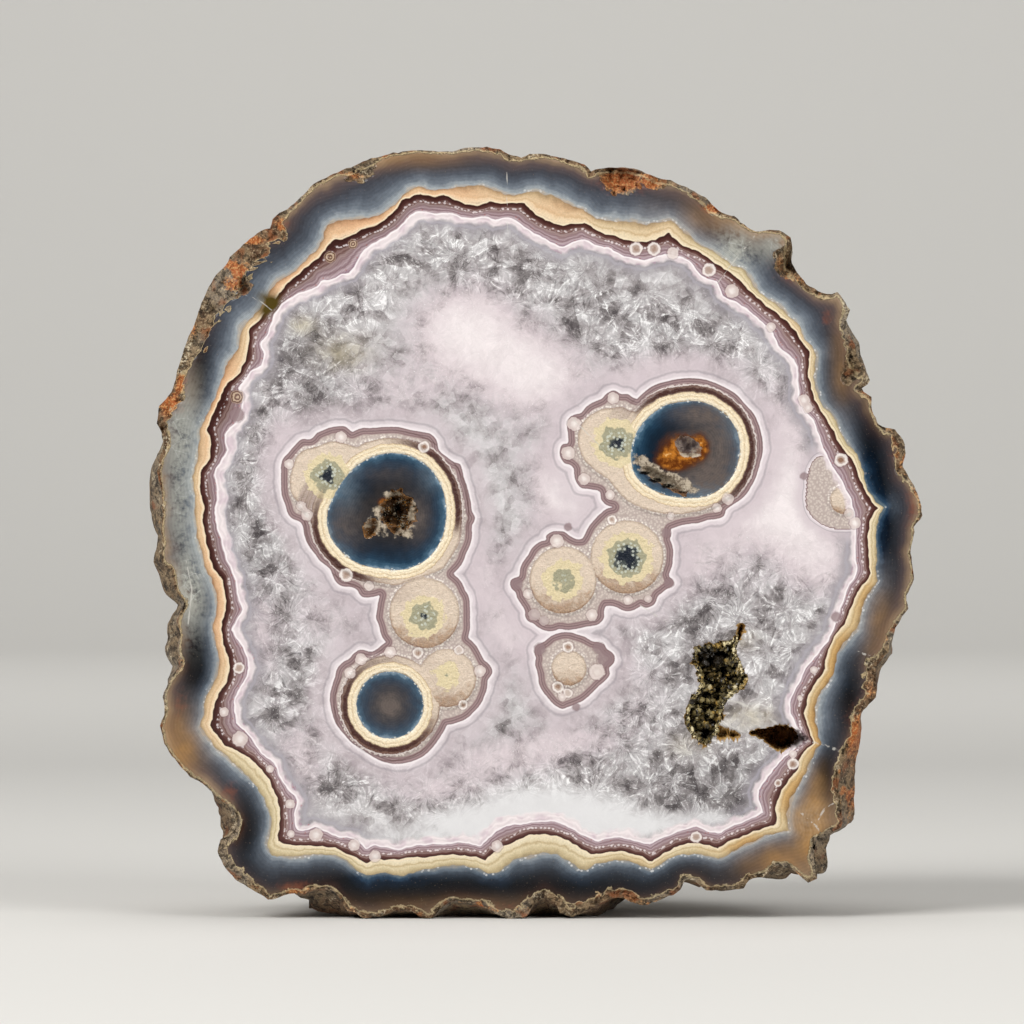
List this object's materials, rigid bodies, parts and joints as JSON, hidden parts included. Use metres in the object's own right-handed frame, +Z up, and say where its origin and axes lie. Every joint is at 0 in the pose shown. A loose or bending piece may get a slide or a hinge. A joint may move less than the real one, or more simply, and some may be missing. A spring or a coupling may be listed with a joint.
{
  "type": "coyamito agate half nodule",
  "caption": "Cut and polished half of a coyamito agate nodule, standing on a small flat spot, with a lumpy husk behind and a crystal-lined cavity in its face.",
  "frame": {"origin": "bottom centre of the stone's bounding box, on the ground under the flat spot", "axes": "+Z up, the polished face looks along -Y, +X to the right of someone who looks at the face"},
  "size_m": [0.0798, 0.034, 0.0796],
  "materials": {
    "agate": "polished face with bands, rough husk behind",
    "druse": "small rough crystals, dark brown and olive"
  },
  "bodies": {
    "root": {"agate": "agate", "vug_crystals": "druse"}
  },
  "joints": []
}
